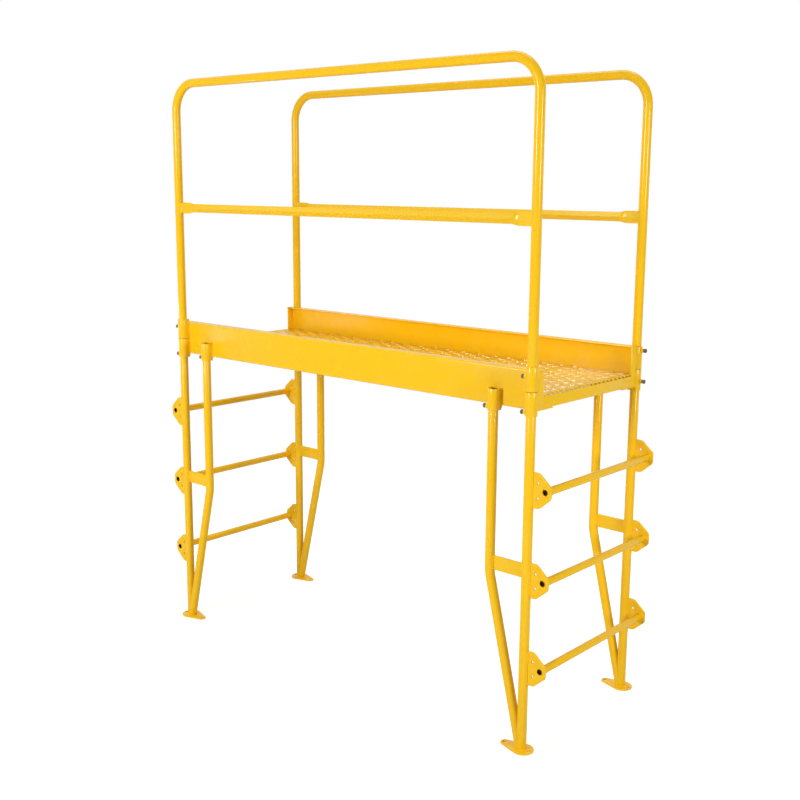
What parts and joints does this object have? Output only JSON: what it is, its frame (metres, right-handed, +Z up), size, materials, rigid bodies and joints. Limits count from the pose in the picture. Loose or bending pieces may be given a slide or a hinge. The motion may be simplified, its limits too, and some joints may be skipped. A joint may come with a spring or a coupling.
{
  "type": "guarded work platform",
  "caption": "Free-standing work platform: serrated plank deck between toe board channels, lift-out tube guardrails and ladder end frames on base plates",
  "frame": {"origin": "on the floor under the middle of the platform", "axes": "+X along the platform towards its right end, -Y the front, +Z up"},
  "size_m": [1.967, 0.7188, 2.273],
  "materials": {
    "yellow_paint": "glossy yellow powder coat on steel",
    "plank_paint": "glossy yellow powder coat over serrated steel sheet",
    "zinc_bolt": "zinc plated hex head, slightly dulled"
  },
  "bodies": {
    "deck": {"front_side_channel": "yellow_paint", "rear_side_channel": "yellow_paint", "front_left_end_cap": "yellow_paint", "front_right_end_cap": "yellow_paint", "rear_left_end_cap": "yellow_paint", "rear_right_end_cap": "yellow_paint", "left_end_beam": "yellow_paint", "right_end_beam": "yellow_paint", "deck_plank_1": "plank_paint", "deck_plank_2": "plank_paint", "deck_plank_3": "plank_paint", "deck_plank_4": "plank_paint", "deck_plank_5": "plank_paint", "deck_plank_6": "plank_paint", "front_left_guardrail_socket": "yellow_paint", "front_right_guardrail_socket": "yellow_paint", "rear_left_guardrail_socket": "yellow_paint", "rear_right_guardrail_socket": "yellow_paint", "front_left_corner_leg_socket": "yellow_paint", "front_right_corner_leg_socket": "yellow_paint", "rear_left_corner_leg_socket": "yellow_paint", "rear_right_corner_leg_socket": "yellow_paint", "front_left_inner_leg_socket": "yellow_paint", "front_right_inner_leg_socket": "yellow_paint", "rear_left_inner_leg_socket": "yellow_paint", "rear_right_inner_leg_socket": "yellow_paint", "guardrail_set_bolts": "zinc_bolt", "corner_leg_set_bolts": "zinc_bolt", "inner_leg_set_bolts": "zinc_bolt", "weld_nuts": "yellow_paint"},
    "front_guardrail": {"front_guardrail_hoop": "yellow_paint", "front_mid_rail": "yellow_paint"},
    "rear_guardrail": {"rear_guardrail_hoop": "yellow_paint", "rear_mid_rail": "yellow_paint"},
    "left_end_frame": {"front_left_corner_leg": "yellow_paint", "rear_left_corner_leg": "yellow_paint", "front_left_inner_leg": "yellow_paint", "rear_left_inner_leg": "yellow_paint", "front_left_tie_bar": "yellow_paint", "rear_left_tie_bar": "yellow_paint", "front_left_base_plate": "yellow_paint", "rear_left_base_plate": "yellow_paint", "front_left_ear_plates": "yellow_paint", "rear_left_ear_plates": "yellow_paint", "left_low_rung": "yellow_paint", "left_middle_rung": "yellow_paint", "left_high_rung": "yellow_paint"},
    "right_end_frame": {"front_right_corner_leg": "yellow_paint", "rear_right_corner_leg": "yellow_paint", "front_right_inner_leg": "yellow_paint", "rear_right_inner_leg": "yellow_paint", "front_right_tie_bar": "yellow_paint", "rear_right_tie_bar": "yellow_paint", "front_right_base_plate": "yellow_paint", "rear_right_base_plate": "yellow_paint", "front_right_ear_plates": "yellow_paint", "rear_right_ear_plates": "yellow_paint", "right_low_rung": "yellow_paint", "right_middle_rung": "yellow_paint", "right_high_rung": "yellow_paint"}
  },
  "joints": [
    {"name": "front_guardrail_lift", "type": "slide", "parent": "deck", "child": "front_guardrail", "axis": [0, 0, 1], "range_m": [0, 0.08]},
    {"name": "rear_guardrail_lift", "type": "slide", "parent": "deck", "child": "rear_guardrail", "axis": [0, 0, 1], "range_m": [0, 0.08]},
    {"name": "left_end_frame_drop", "type": "slide", "parent": "deck", "child": "left_end_frame", "axis": [0, 0, -1], "range_m": [0, 0.08]},
    {"name": "right_end_frame_drop", "type": "slide", "parent": "deck", "child": "right_end_frame", "axis": [0, 0, -1], "range_m": [0, 0.08]}
  ]
}
